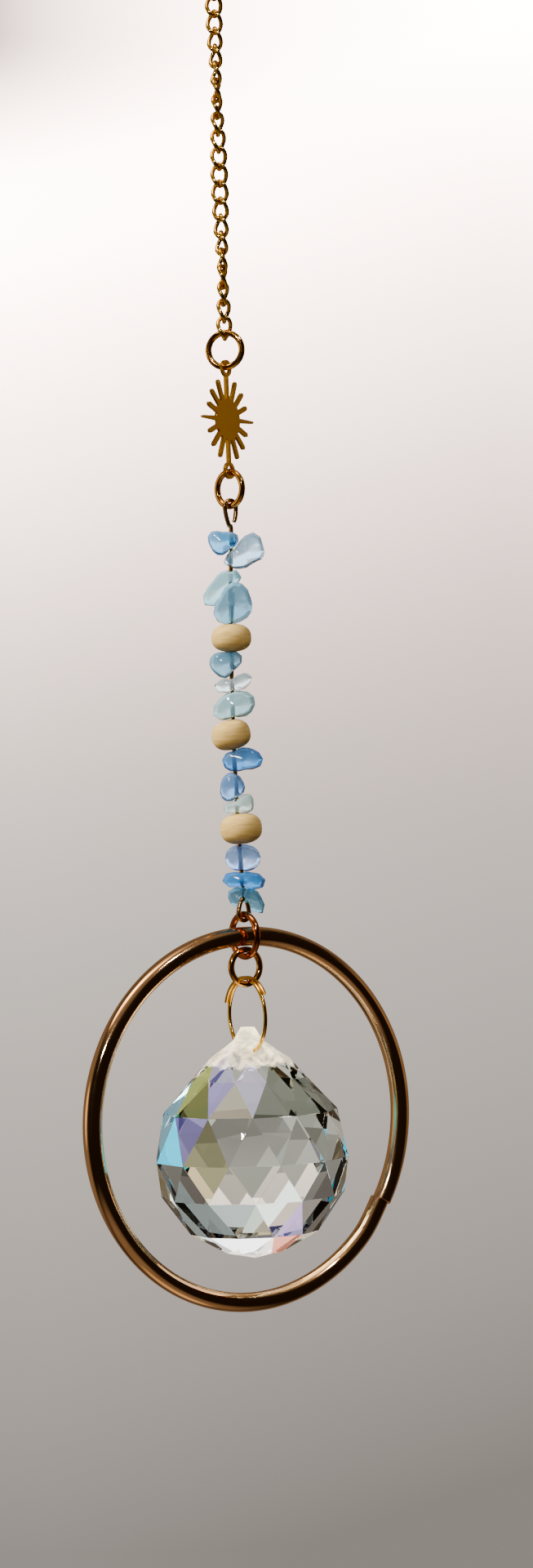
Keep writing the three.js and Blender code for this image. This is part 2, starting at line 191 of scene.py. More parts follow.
def new_material(name):
    material = bpy.data.materials.new(name)
    material.use_nodes = True
    return material, material.node_tree, material.node_tree.nodes["Principled BSDF"]


def bump(tree, shader, height, strength, distance):
    node = add_node(tree, "ShaderNodeBump", {"Height": height, "Strength": strength, "Distance": distance})
    tree.links.new(node.outputs["Normal"], shader.inputs["Normal"])


print("helpers ready")

# %% [markdown]
# The plated wires, the hoop and the sun all wear in the same way: the plating is a little cloudy, and its
# gloss changes over a fraction of a millimetre. One shader group, worked from Object coordinates, gives
# both as a colour and a roughness, and each metal places it with its own values.

# %% Metal wear group
METAL_WEAR, group_in, group_out = new_group(
    "metal wear",
    "ShaderNodeTree",
    {
        "Clean Color": ("color", (1, 1, 1, 1)),
        "Dull Color": ("color", (0.5, 0.5, 0.5, 1)),
        "Patch Scale": ("float", 400.0),
        "Patch Amount": ("float", 0.5),
        "Smooth": ("float", 0.1),
        "Rough": ("float", 0.3),
    },
    {"Color": "color", "Roughness": "float", "Height": "float"},
)
place = add_node(METAL_WEAR, "ShaderNodeTexCoord").outputs["Object"]
patches = add_node(
    METAL_WEAR, "ShaderNodeTexNoise", {"Vector": place, "Scale": group_in["Patch Scale"], "Detail": 5.0}
).outputs["Fac"]
fine = add_node(
    METAL_WEAR, "ShaderNodeTexNoise", {"Vector": place, "Scale": 5200.0, "Detail": 2.0}
).outputs["Fac"]
worn = maths(METAL_WEAR, "MULTIPLY", spread(METAL_WEAR, patches, 0.42, 0.68), group_in["Patch Amount"])
plating = mix_colors(METAL_WEAR, worn, group_in["Clean Color"], group_in["Dull Color"])
METAL_WEAR.links.new(plating, group_out["Color"])
gloss = add_node(
    METAL_WEAR,
    "ShaderNodeMapRange",
    {0: patches, 1: 0.35, 2: 0.7, 3: group_in["Smooth"], 4: group_in["Rough"]},
).outputs[0]
METAL_WEAR.links.new(gloss, group_out["Roughness"])
METAL_WEAR.links.new(fine, group_out["Height"])
print("made group:", METAL_WEAR.name)

# %% [markdown]
# Six metals share that group. Each has a colour where the plating is clean and another where it is dull, how
# large and how strong the patches are, and how its gloss runs from smooth to rough.

# %% Metals


def metal(name, clean, dull, patch_scale=400.0, amount=0.5, smooth=0.12, rough=0.3, grain=0.06):
    material, tree, shader = new_material(name)
    wear = use_group(
        tree,
        METAL_WEAR,
        Clean_Color=(*clean, 1),
        Dull_Color=(*dull, 1),
        Patch_Scale=patch_scale,
        Patch_Amount=amount,
        Smooth=smooth,
        Rough=rough,
    )
    tree.links.new(wear["Color"], shader.inputs["Base Color"])
    tree.links.new(wear["Roughness"], shader.inputs["Roughness"])
    shader.inputs["Metallic"].default_value = 1.0
    bump(tree, shader, wear["Height"], grain, mm(0.02))
    return material


CHAIN_GOLD = metal("chain gold", (1, 0.62, 0.1), (0.6, 0.3, 0.04), amount=0.5, smooth=0.12, rough=0.2)
RING_GOLD = metal("ring gold", (0.85, 0.42, 0.08), (0.45, 0.18, 0.03), amount=0.6, smooth=0.08, rough=0.18)
COPPER_GOLD = metal(
    "coppery gold", (0.62, 0.19, 0.05), (0.3, 0.08, 0.02), amount=0.6, smooth=0.08, rough=0.18
)
PIN_METAL = metal("pin metal", (0.6, 0.34, 0.11), (0.3, 0.14, 0.05), amount=0.7, smooth=0.14, rough=0.3)
SUN_BRASS = metal("sun brass", (0.72, 0.4, 0.05), (0.55, 0.28, 0.03), 90.0, 0.4, 0.25, 0.3, 0.0)
HOOP_GOLD = metal("hoop gold", (0.92, 0.56, 0.29), (0.66, 0.36, 0.15), 150.0, 0.5, 0.06, 0.16, 0.0)
METALS = (CHAIN_GOLD, RING_GOLD, COPPER_GOLD, PIN_METAL, SUN_BRASS, HOOP_GOLD)
print("metals:", ", ".join(material.name for material in METALS))

# %% [markdown]
# Every ring, link and pin here is round wire along a path. Geometry Nodes sweep a round section along a
# curve, with the wire's radius, its number of sides and its finish as named inputs. The path's few points
# become a smooth Catmull-Rom curve inside the tree, so that the script only says where the wire bends.

# %% Round wire tree
WIRE_TREE, group_in, group_out = new_group(
    "round wire",
    "GeometryNodeTree",
    {
        "Path": ("geometry", None),
        "Wire Radius": ("float", mm(0.5)),
        "Sides": ("int", 20),
        "Steps Between Points": ("int", 4),
        "Finish": ("material", None),
    },
    {"Wire": "geometry"},
)
smooth_path = add_node(
    WIRE_TREE, "GeometryNodeCurveSplineType", {"Curve": group_in["Path"]}, spline_type="CATMULL_ROM"
).outputs["Curve"]
stepped = add_node(
    WIRE_TREE,
    "GeometryNodeSetSplineResolution",
    {"Geometry": smooth_path, "Resolution": group_in["Steps Between Points"]},
).outputs["Geometry"]
section = add_node(
    WIRE_TREE,
    "GeometryNodeCurvePrimitiveCircle",
    {"Resolution": group_in["Sides"], "Radius": group_in["Wire Radius"]},
).outputs["Curve"]
thickness = add_node(WIRE_TREE, "GeometryNodeInputRadius").outputs["Radius"]
swept = add_node(
    WIRE_TREE,
    "GeometryNodeCurveToMesh",
    {"Curve": stepped, "Profile Curve": section, "Scale": thickness, "Fill Caps": True},
).outputs["Mesh"]
softened = add_node(WIRE_TREE, "GeometryNodeSetShadeSmooth", {"Geometry": swept}).outputs["Geometry"]
plain = add_node(WIRE_TREE, "GeometryNodeRealizeInstances", {"Geometry": softened}).outputs["Geometry"]
finished = add_node(WIRE_TREE, "GeometryNodeSetMaterial", {"Geometry": plain, "Material": group_in["Finish"]})
WIRE_TREE.links.new(finished.outputs["Geometry"], group_out["Wire"])
print("made tree:", WIRE_TREE.name)

# %% [markdown]
# A wire piece starts as a bare path that carries the tree. What the tree makes of it is then turned into a
# plain mesh, and the carrier is deleted. Each finished piece hides the solids that it stands for.

# %% Making a wire


def set_inputs(modifier, values):
    for item in modifier.node_group.interface.items_tree:
        if item.in_out == "INPUT" and item.name in values:
            modifier[item.identifier] = values[item.name]


def bake(maker, name):
    """Turns what a tree makes into a plain mesh object and deletes the object that carried the tree."""
    bpy.context.view_layer.update()
    evaluated = maker.evaluated_get(bpy.context.evaluated_depsgraph_get())
    mesh = bpy.data.meshes.new_from_object(evaluated)
    mesh.name = name
    piece = bpy.data.objects.new(name, mesh)
    bpy.context.collection.objects.link(piece)
    bpy.data.objects.remove(maker)
    return piece


def path_object(points, cyclic, ends=1.0):
    """A curve through the points. ends is how thick its first and last points are, against the rest."""
    curve = bpy.data.curves.new("path", "CURVE")
    curve.dimensions = "3D"
    spline = curve.splines.new("POLY")
    spline.points.add(len(points) - 1)
    for spot, point in zip(spline.points, points):
        spot.co = (*point, 1)
    spline.use_cyclic_u = cyclic
    for spot in (spline.points[0], spline.points[-1]):
        spot.radius = ends
    maker = bpy.data.objects.new("path", curve)
    bpy.context.collection.objects.link(maker)
    return maker


def wire_piece(name, points, wire, finish, cyclic=True, sides=20, steps=4, ends=1.0):
    maker = path_object(points, cyclic, ends)
    modifier = maker.modifiers.new("wire", "NODES")
    modifier.node_group = WIRE_TREE
    set_inputs(
        modifier,
        {"Wire Radius": wire / 2, "Sides": sides, "Steps Between Points": steps, "Finish": finish},
    )
    return bake(maker, name)


def finish_piece(piece, slot, *nodes):
    """Puts a piece on the root body and hides the solids it stands for. slot, the name of its finish, is not
    used.
    """
    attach(piece, "root")
    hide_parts(*nodes)
    print(piece.name, "faces:", len(piece.data.polygons))


print("ready to sweep wire with", WIRE_TREE.name)

# %% [markdown]
# A curb chain is oval links twisted so that each lies flat against the next. It hangs taut, and it is
# slowly turned along its length. A second tree makes one link from a circle, twists it, and places a copy
# on each point of a line, so the count, the pitch and the turn from link to link are all inputs.

# %% Link sizes
LINK = {"length": mm(4.11), "width": mm(2.88), "wire": mm(0.69), "twist": math.radians(90)}
LINK_TURN_LAST = math.radians(2.8)
LINK_TURN_STEP = math.radians(16.8)
link_nodes = sorted(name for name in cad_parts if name.startswith("chain_link_"))
first_link = middle_of(link_nodes[0])
last_link = middle_of(link_nodes[-1])
link_pitch = (first_link.z - last_link.z) / (len(link_nodes) - 1)
print("links:", len(link_nodes), "pitch in mm:", round(link_pitch * 1000, 3))

# %% [markdown]
# The circle is stretched to an oval, and each point is turned about the long axis by how far along it lies.
# That twists the link. Then a section is swept round it, and a copy is set on every point of the line.

# %% Curb chain tree
LINK_POINTS = 60
LINK_SIDES = 20
CHAIN_TREE, group_in, group_out = new_group(
    "curb chain",
    "GeometryNodeTree",
    {
        "Carrier": ("geometry", None),
        "Links": ("int", 10),
        "Pitch": ("float", mm(2.6)),
        "Top": ("vector", (0, 0, 0)),
        "Link Length": ("float", mm(3.7)),
        "Link Width": ("float", mm(2.6)),
        "Wire Radius": ("float", mm(0.25)),
        "Twist": ("float", 1.57),
        "First Turn": ("float", 0.0),
        "Turn Step": ("float", 0.3),
        "Finish": ("material", None),
    },
    {"Chain": "geometry"},
)
ring = add_node(
    CHAIN_TREE, "GeometryNodeCurvePrimitiveCircle", {"Resolution": LINK_POINTS, "Radius": 1.0}
).outputs["Curve"]
position = add_node(CHAIN_TREE, "GeometryNodeInputPosition").outputs[0]
spot = add_node(CHAIN_TREE, "ShaderNodeSeparateXYZ", {"Vector": position}).outputs
wire_thick = maths(CHAIN_TREE, "MULTIPLY", group_in["Wire Radius"], 2.0)
inner_width = maths(CHAIN_TREE, "SUBTRACT", group_in["Link Width"], wire_thick)
inner_length = maths(CHAIN_TREE, "SUBTRACT", group_in["Link Length"], wire_thick)
half_width = maths(CHAIN_TREE, "MULTIPLY", inner_width, 0.5)
half_length = maths(CHAIN_TREE, "MULTIPLY", inner_length, 0.5)
twist_here = maths(CHAIN_TREE, "MULTIPLY", spot["X"], group_in["Twist"])
turned = maths(CHAIN_TREE, "MULTIPLY", twist_here, -0.5)
across = maths(CHAIN_TREE, "MULTIPLY", half_width, spot["Y"])
twisted = add_node(
    CHAIN_TREE,
    "ShaderNodeCombineXYZ",
    {
        "X": maths(CHAIN_TREE, "MULTIPLY", across, maths(CHAIN_TREE, "COSINE", turned)),
        "Y": maths(CHAIN_TREE, "MULTIPLY", across, maths(CHAIN_TREE, "SINE", turned)),
        "Z": maths(CHAIN_TREE, "MULTIPLY", half_length, spot["X"]),
    },
).outputs[0]
oval = add_node(CHAIN_TREE, "GeometryNodeSetPosition", {"Geometry": ring, "Position": twisted}).outputs[0]
section = add_node(
    CHAIN_TREE,
    "GeometryNodeCurvePrimitiveCircle",
    {"Resolution": LINK_SIDES, "Radius": group_in["Wire Radius"]},
).outputs["Curve"]
link = add_node(
    CHAIN_TREE, "GeometryNodeCurveToMesh", {"Curve": oval, "Profile Curve": section}
).outputs["Mesh"]
link = add_node(CHAIN_TREE, "GeometryNodeSetShadeSmooth", {"Geometry": link}).outputs["Geometry"]
drop = maths(CHAIN_TREE, "MULTIPLY", group_in["Pitch"], -1.0)
down = add_node(CHAIN_TREE, "ShaderNodeCombineXYZ", {"Z": drop}).outputs[0]
spots = add_node(
    CHAIN_TREE,
    "GeometryNodeMeshLine",
    {"Count": group_in["Links"], "Start Location": group_in["Top"], "Offset": down},
).outputs["Mesh"]
index = add_node(CHAIN_TREE, "GeometryNodeInputIndex").outputs[0]
turned_on = maths(CHAIN_TREE, "MULTIPLY", index, group_in["Turn Step"])
turn = maths(CHAIN_TREE, "SUBTRACT", group_in["First Turn"], turned_on)
turn_about = add_node(CHAIN_TREE, "ShaderNodeCombineXYZ", {"Z": turn}).outputs[0]
spin = add_node(CHAIN_TREE, "FunctionNodeEulerToRotation", {0: turn_about}).outputs[0]
copies = add_node(
    CHAIN_TREE, "GeometryNodeInstanceOnPoints", {"Points": spots, "Instance": link, "Rotation": spin}
).outputs[0]
plain = add_node(CHAIN_TREE, "GeometryNodeRealizeInstances", {"Geometry": copies}).outputs["Geometry"]
finished = add_node(
    CHAIN_TREE, "GeometryNodeSetMaterial", {"Geometry": plain, "Material": group_in["Finish"]}
)
CHAIN_TREE.links.new(finished.outputs["Geometry"], group_out["Chain"])
print("made tree:", CHAIN_TREE.name)

# %% [markdown]
# The chain hangs from the middle of its top link. Its count and pitch come from the solids, so that it ends
# where the jump ring takes it up.

# %% Curb chain
maker = bpy.data.objects.new("chain maker", bpy.data.meshes.new("chain maker"))
bpy.context.collection.objects.link(maker)
modifier = maker.modifiers.new("chain", "NODES")
modifier.node_group = CHAIN_TREE
set_inputs(
    modifier,
    {
        "Links": len(link_nodes),
        "Pitch": link_pitch,
        "Top": (0.0, 0.0, first_link.z),
        "Link Length": LINK["length"],
        "Link Width": LINK["width"],
        "Wire Radius": LINK["wire"] / 2,
        "Twist": LINK["twist"],
        "First Turn": LINK_TURN_LAST + LINK_TURN_STEP * (len(link_nodes) - 1),
        "Turn Step": LINK_TURN_STEP,
        "Finish": CHAIN_GOLD,
    },
)
chain = bake(maker, "curb_chain")
finish_piece(chain, "chain_gold", *link_nodes)

# %% [markdown]
# The plain rings are closed loops of wire that stand upright, each turned its own way. Sixteen points on a
# circle are enough, because the tree rounds them off.

# %% Hanging ring and jump rings
RING_POINTS = 16
RINGS = [
    ("hanging_ring", mm(12), mm(0.95), 24, CHAIN_GOLD, "chain_gold"),
    ("jump_ring_upper", mm(6.4), mm(1), -48, RING_GOLD, "ring_gold"),
    ("jump_ring_middle", mm(6.4), mm(1), -77, RING_GOLD, "ring_gold"),
    ("jump_ring_hoop", mm(7.65), mm(1.05), -86, COPPER_GOLD, "copper_gold"),
    ("jump_ring_lower", mm(6.4), mm(1), 2, RING_GOLD, "ring_gold"),
]


def upright_circle(radius, turn, centre, count):
    """Points round a circle that stands upright and is turned about the vertical by turn degrees."""
    sideways = Vector((math.cos(math.radians(turn)), math.sin(math.radians(turn)), 0))
    points = []
    for i in range(count):
        angle = 2 * math.pi * i / count
        points.append(centre + sideways * radius * math.cos(angle) + Vector((0, 0, radius * math.sin(angle))))
    return points


for node, outer, wire, turn, finish, slot in RINGS:
    circle = upright_circle((outer - wire) / 2, turn, middle_of(node), RING_POINTS)
    finish_piece(wire_piece(node + "_wire", circle, wire, finish), slot, node)

# %% [markdown]
# The crystal's ring is thin wire wound a little more than once round, so that its ends lie side by side
# across the top. The path is a circle that also creeps sideways.

# %% Crystal's wire ring
COIL = {
    "outer": mm(12.2),
    "wire": mm(0.62),
    "turn": math.radians(-92),
    "start": 162,
    "turns": 1.35,
    "step": mm(0.7),
}
coil_centre = Vector((0, 0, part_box("crystal_ring")[1][2] - COIL["outer"] / 2))
coil_radius = (COIL["outer"] - COIL["wire"]) / 2
coil_points = []
for i in range(41):
    along = i / 40
    angle = math.radians(COIL["start"] - 360 * COIL["turns"] * along)
    creep = COIL["step"] * COIL["turns"] * (along - 0.5)
    local = Vector((coil_radius * math.cos(angle), creep, coil_radius * math.sin(angle)))
    coil_points.append(coil_centre + Matrix.Rotation(COIL["turn"], 3, "Z") @ local)
coil = wire_piece("crystal_ring_wire", coil_points, COIL["wire"], CHAIN_GOLD, cyclic=False)
finish_piece(coil, "chain_gold", "crystal_ring")

# %% [markdown]
# The eye pin is one wire: a loop with a tucked end above, a stem that bows a little to the left, and the
# same loop below. The stones hide most of it, but the clear ones let it show.

# %% Eye pin
PIN = {
    "wire": mm(0.7),
    "loop_width": mm(2.8),
    "upper_loop": mm(4.75),
    "lower_loop": mm(3.95),
    "upper_turn": 0,
    "lower_turn": 4,
    "bow": mm(0.7),
}
pin_low, pin_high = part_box("eye_pin")
stem_top = pin_high[2] - PIN["upper_loop"]
stem_bottom = pin_low[2] + PIN["lower_loop"]


def stem_point(height):
    along = min(max((stem_top - height) / (stem_top - stem_bottom), 0), 1)
    bowed = Vector((-PIN["bow"] * math.sin(math.pi * along), 0, height))
    return Matrix.Rotation(math.radians(FACING), 3, "Z") @ bowed


def loop_points(end, length, turn):
    radius = (PIN["loop_width"] - PIN["wire"]) / 2
    eye = abs(length) - PIN["wire"] / 2 - radius
    local = [(-0.32 * radius, 0.12 * eye), (-0.72 * radius, 0.5 * eye)]
    for degrees in range(190, -11, -25):
        angle = math.radians(degrees)
        local.append((radius * math.cos(angle), eye + radius * math.sin(angle)))
    local += [(0.8 * radius, 0.5 * eye), (0.55 * radius, 0.3 * eye)]
    sideways = Vector((math.cos(math.radians(turn)), math.sin(math.radians(turn)), 0))
    way = 1 if length > 0 else -1
    return [sideways * x + Vector((0, 0, end + way * z)) for x, z in local]


pin_points = loop_points(stem_top, PIN["upper_loop"], PIN["upper_turn"])[::-1]
pin_points += [stem_point(stem_top + (stem_bottom - stem_top) * i / 12) for i in range(13)]
pin_points += loop_points(stem_bottom, -PIN["lower_loop"], PIN["lower_turn"])
pin = wire_piece("eye_pin_wire", pin_points, PIN["wire"], PIN_METAL, cyclic=False, ends=0.85)
finish_piece(pin, "pin_brass", "eye_pin")

# %% [markdown]
# The hoop is a rod bent round until its ends meet. The lower end has sprung a little inwards, so the seam
# shows as a small step. A closed torus would lose that, so the rod is swept as an open path.

# %% Hoop
SEAM = {"angle": -31.5, "gap": mm(0.12), "step": mm(0.4), "settle": 14}
hoop_radius = (HOOP_OUTER - HOOP_ROD) / 2
half_gap = math.degrees(SEAM["gap"] / 2 / hoop_radius)
bend = 360 - 2 * half_gap
hoop_points = []
for i in range(121):
    turned = bend * i / 120
    settled = min(max((turned - bend + SEAM["settle"]) / SEAM["settle"], 0), 1)
    reach = hoop_radius - SEAM["step"] * settled * settled * (3 - 2 * settled)
    angle = math.radians(SEAM["angle"] + half_gap + turned)
    hoop_points.append(hoop_centre + Vector((reach * math.cos(angle), 0, reach * math.sin(angle))))
hoop = wire_piece("hoop_rod", hoop_points, HOOP_ROD, HOOP_GOLD, cyclic=False, sides=72, steps=2)
finish_piece(hoop, "hoop_gold", "hoop")

# %% [markdown]
# The sun is stamped from sheet brass. Its solid already has the rays and the eyelets, so a copy of it only
# needs its cut edges softened. A CAD node's mesh is loose triangles, and a bevel needs them joined first.

# %% Sun


def joined_copy(node, name):
    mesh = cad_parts[node].data.copy()
    mesh.name = name
    piece = bpy.data.objects.new(name, mesh)
    bpy.context.collection.objects.link(piece)
    work = bmesh.new()
    work.from_mesh(mesh)
    bmesh.ops.remove_doubles(work, verts=work.verts, dist=mm(0.004))
    bmesh.ops.dissolve_limit(work, angle_limit=math.radians(0.8), verts=work.verts, edges=work.edges)
    work.to_mesh(mesh)
    work.free()
    mesh.materials.clear()
    return piece


def keep_modifiers(piece):
    """Makes a piece's modifiers part of its mesh."""
    bpy.context.view_layer.update()
    evaluated = piece.evaluated_get(bpy.context.evaluated_depsgraph_get())
    mesh = bpy.data.meshes.new_from_object(evaluated)
    piece.modifiers.clear()
    piece.data = mesh


def soften_edges(piece, width, segments, angle):
    bevel = piece.modifiers.new("soft edges", "BEVEL")
    bevel.width = width
    bevel.segments = segments
    bevel.limit_method = "ANGLE"
    bevel.angle_limit = math.radians(angle)
    bevel.use_clamp_overlap = True
    keep_modifiers(piece)


sun = joined_copy("sun_charm", "sun_plate")
soften_edges(sun, mm(0.07), 2, 40)
sun.data.materials.append(SUN_BRASS)
finish_piece(sun, "sun_brass", "sun_charm")

# %% [markdown]
# The wooden beads are left bare. Noise stretched along the string gives the grain, and a finer one the pores.

# %% Wood
WOOD_GRAIN, tree, shader = new_material("bare wood")
place = add_node(tree, "ShaderNodeTexCoord").outputs["Object"]
stretched = add_node(tree, "ShaderNodeMapping", {"Vector": place, "Scale": (1.0, 1.0, 7.0)}).outputs[0]
streaks = add_node(
    tree, "ShaderNodeTexNoise", {"Vector": stretched, "Scale": 420.0, "Detail": 6.0}
).outputs["Fac"]
pores = add_node(
    tree, "ShaderNodeTexNoise", {"Vector": stretched, "Scale": 1900.0, "Detail": 2.0}
).outputs["Fac"]
tone = mix_colors(tree, spread(tree, streaks, 0.38, 0.64), (0.68, 0.45, 0.14, 1), (0.54, 0.33, 0.08, 1))
darkened = maths(tree, "MULTIPLY", spread(tree, pores, 0.58, 0.72), 0.3)
tone = mix_colors(tree, darkened, tone, (0.26, 0.15, 0.07, 1))
tree.links.new(tone, shader.inputs["Base Color"])
shader.inputs["Roughness"].default_value = 0.55
shader.inputs["Specular IOR Level"].default_value = 0.35
bump(tree, shader, pores, 0.35, mm(0.05))
print("made wood:", WOOD_GRAIN.name)

# %% [markdown]
# The beads are turned: fuller than a ball and nearly flat at the drilled ends. Each is a profile spun round
# the pin, with a small countersink where the drill went in, and is a little uneven.

# %% Wooden beads
BEADS = {
    "bead_01_wood": (mm(6.35), mm(4.42), 0),
    "bead_02_wood": (mm(6.2), mm(4.7), 11),
    "bead_03_wood": (mm(6.6), mm(4.85), 4),
}
BEAD_FULLNESS = 2.5
BEAD_BORE = mm(0.6)
BEAD_STEPS = 22
BEAD_SIDES = 56
COUNTERSINK_LEVEL = 0.36  # where its inner rim lies, as a share of the bead's height
BEAD_UNEVEN = 0.012


def bead_piece(name, width, height, tilt, centre, seed):
    work = bmesh.new()
    rows = []
    outline = [(BEAD_BORE, height * COUNTERSINK_LEVEL)]
    for i in range(BEAD_STEPS + 1):
        angle = math.pi / 2 - math.pi * i / BEAD_STEPS
        soft = [math.copysign(abs(v) ** (2 / BEAD_FULLNESS), v) for v in (math.cos(angle), math.sin(angle))]
        outline.append((max(width / 2 * abs(soft[0]), BEAD_BORE * 1.25), height / 2 * soft[1]))
    outline.append((BEAD_BORE, -height * COUNTERSINK_LEVEL))
    for reach, level in outline:
        row = []
        for k in range(BEAD_SIDES):
            angle = 2 * math.pi * k / BEAD_SIDES
            spot = Vector((reach * math.cos(angle), reach * math.sin(angle), level))
            uneven = noise.noise(spot * 420 + Vector((seed * 5.3, 0, 0)))
            spot *= 1 + BEAD_UNEVEN * uneven - BEAD_UNEVEN
            row.append(work.verts.new(spot))
        rows.append(row)
    for upper, lower in zip(rows, rows[1:] + rows[:1]):
        for k in range(BEAD_SIDES):
            after = (k + 1) % BEAD_SIDES
            work.faces.new((upper[k], lower[k], lower[after], upper[after]))
    turned = Matrix.Rotation(math.radians(FACING), 4, "Z") @ Matrix.Rotation(math.radians(-tilt), 4, "Y")
    work.transform(Matrix.Translation(centre) @ turned)
    bmesh.ops.recalc_face_normals(work, faces=work.faces)
    mesh = bpy.data.meshes.new(name)
    work.to_mesh(mesh)
    work.free()
    mesh.shade_smooth()
    mesh.materials.append(WOOD_GRAIN)
    piece = bpy.data.objects.new(name, mesh)
    bpy.context.collection.objects.link(piece)
    return piece


for number, (node, (width, height, tilt)) in enumerate(BEADS.items()):
    bead = bead_piece(node + "_turned", width, height, tilt, middle_of(node), number)
    finish_piece(bead, "bead_wood", node)

# %% [markdown]
# The chips are tumbled glassy stones with clouds in them. One group mixes a second colour in by noise, makes
# the gloss change with it, and gives fine pits for the skin. A variant number moves the pattern, so that no
# two stones are clouded alike.

# %% Clouded stone group
STONE_CLOUDS, group_in, group_out = new_group(
    "stone clouds",
    "ShaderNodeTree",
    {
        "Main Color": ("color", (0.4, 0.6, 0.8, 1)),
        "Cloud Color": ("color", (1, 1, 1, 1)),
        "Cloud Scale": ("float", 300.0),
        "Cloud Amount": ("float", 0.6),
        "Variant": ("float", 0.0),
    },
    {"Color": "color", "Roughness": "float", "Height": "float"},
)
place = add_node(STONE_CLOUDS, "ShaderNodeTexCoord").outputs["Object"]
clouds = add_node(
    STONE_CLOUDS,
    "ShaderNodeTexNoise",
    {
        "Vector": place,
        "W": group_in["Variant"],
        "Scale": group_in["Cloud Scale"],
        "Detail": 3.0,
        "Distortion": 0.6,
    },
    noise_dimensions="4D",
).outputs["Fac"]
pits = add_node(
    STONE_CLOUDS,
    "ShaderNodeTexNoise",
    {"Vector": place, "W": group_in["Variant"], "Scale": 1500.0, "Detail": 3.0},
    noise_dimensions="4D",
).outputs["Fac"]
cloudy = maths(STONE_CLOUDS, "MULTIPLY", spread(STONE_CLOUDS, clouds, 0.4, 0.68), group_in["Cloud Amount"])
stone_color = mix_colors(STONE_CLOUDS, cloudy, group_in["Main Color"], group_in["Cloud Color"])
STONE_CLOUDS.links.new(stone_color, group_out["Color"])
rough = add_node(
    STONE_CLOUDS, "ShaderNodeMapRange", {0: clouds, 1: 0.3, 2: 0.75, 3: 0.03, 4: 0.12}
).outputs[0]
STONE_CLOUDS.links.new(rough, group_out["Roughness"])
STONE_CLOUDS.links.new(pits, group_out["Height"])
print("made group:", STONE_CLOUDS.name)

# %% [markdown]
# Thirteen stones share the group. The table gives each its slot, its colour, the colour of its clouds, how
# cloudy it is, and how clear. Clearness is a plain value on the shader.

# %% Stone finishes


def stone_finish(name, main, cloud, amount, clearness, variant):
    material, tree, shader = new_material(name)
    clouds = use_group(
        tree,
        STONE_CLOUDS,
        Main_Color=(*main, 1),
        Cloud_Color=(*cloud, 1),
        Cloud_Amount=amount,
        Variant=variant,
    )
    tree.links.new(clouds["Color"], shader.inputs["Base Color"])
    tree.links.new(clouds["Roughness"], shader.inputs["Roughness"])
    shader.inputs["IOR"].default_value = 1.5
    shader.inputs["Transmission Weight"].default_value = clearness
    bump(tree, shader, clouds["Height"], 0.08, mm(0.08))
    return material


MILK = (0.8, 0.92, 0.98)
CHIPS = {
    "chip_01_sky_blue": ("chip_sky_blue", (0.09, 0.45, 0.86), MILK, 0.3, 0.72),
    "chip_02_clear_blue": ("chip_clear_blue", (0.42, 0.72, 0.98), MILK, 0.5, 0.86),
    "chip_03_pale_aqua": ("chip_pale_aqua", (0.42, 0.8, 0.92), (0.66, 0.86, 0.86), 0.5, 0.66),
    "chip_04_blue_grey": ("chip_blue_grey", (0.24, 0.54, 0.76), (0.45, 0.78, 0.86), 0.4, 0.62),
    "chip_05_teal_heart": ("chip_teal_heart", (0.15, 0.4, 0.58), (0.7, 0.85, 0.9), 0.35, 0.62),
    "chip_06_clear_wing": ("chip_clear_wing", (0.68, 0.88, 0.95), MILK, 0.4, 0.85),
    "chip_07_grey_teal": ("chip_grey_teal", (0.4, 0.68, 0.76), (0.55, 0.78, 0.82), 0.5, 0.58),
    "chip_08_deep_blue": ("chip_deep_blue", (0.03, 0.24, 0.68), (0.5, 0.8, 0.98), 0.4, 0.72),
    "chip_09_blue_drop": ("chip_blue_drop", (0.14, 0.36, 0.76), (0.55, 0.76, 0.92), 0.35, 0.75),
    "chip_10_pale_crescent": ("chip_pale_crescent", (0.6, 0.82, 0.8), (0.85, 0.93, 0.9), 0.4, 0.62),
    "chip_11_lavender_blue": ("chip_lavender_blue", (0.26, 0.46, 0.86), (0.55, 0.72, 0.94), 0.4, 0.84),
    "chip_12_deep_blue_disc": ("chip_deep_blue_disc", (0.03, 0.27, 0.72), (0.2, 0.56, 0.92), 0.3, 0.68),
    "chip_13_teal_saddle": ("chip_teal_saddle", (0.16, 0.48, 0.72), (0.45, 0.76, 0.88), 0.35, 0.72),
}
print("stones:", len(CHIPS))

# %% [markdown]
# Each solid has the right outline but only a few flat faces. So it is remeshed finely, smoothed until the
# flats are gone, and then pushed in and out a little by seeded noise.

# %% Stones
STONE_VOXEL = mm(0.13)
SMOOTHING = 9
UNEVEN = mm(0.07)
WAVE_SCALE = 520
RIPPLE_SCALE = 1500


def tumbled(node, name, seed):
    piece = joined_copy(node, name)
    remesh = piece.modifiers.new("fine skin", "REMESH")
    remesh.mode = "VOXEL"
    remesh.voxel_size = STONE_VOXEL
    relax = piece.modifiers.new("worn round", "SMOOTH")
    relax.factor = 0.5
    relax.iterations = SMOOTHING
    keep_modifiers(piece)
    mesh = piece.data
    away = [Vector(vertex.normal) for vertex in mesh.vertices]
    for vertex, out in zip(mesh.vertices, away):
        wave = noise.noise(vertex.co * WAVE_SCALE + Vector((seed * 3.7, 0, 0)))
        ripple = noise.noise(vertex.co * RIPPLE_SCALE + Vector((0, seed * 2.9, 0)))
        vertex.co += out * (UNEVEN * (0.6 + 0.75 * wave) + UNEVEN * 0.22 * ripple)
    mesh.shade_smooth()
    mesh.materials.clear()
    return piece


for number, (node, (slot, main, cloud, amount, clearness)) in enumerate(CHIPS.items()):
    chip = tumbled(node, node + "_stone", number)
    chip.data.materials.append(stone_finish(slot, main, cloud, amount, clearness, number * 1.7))
    finish_piece(chip, slot, node)
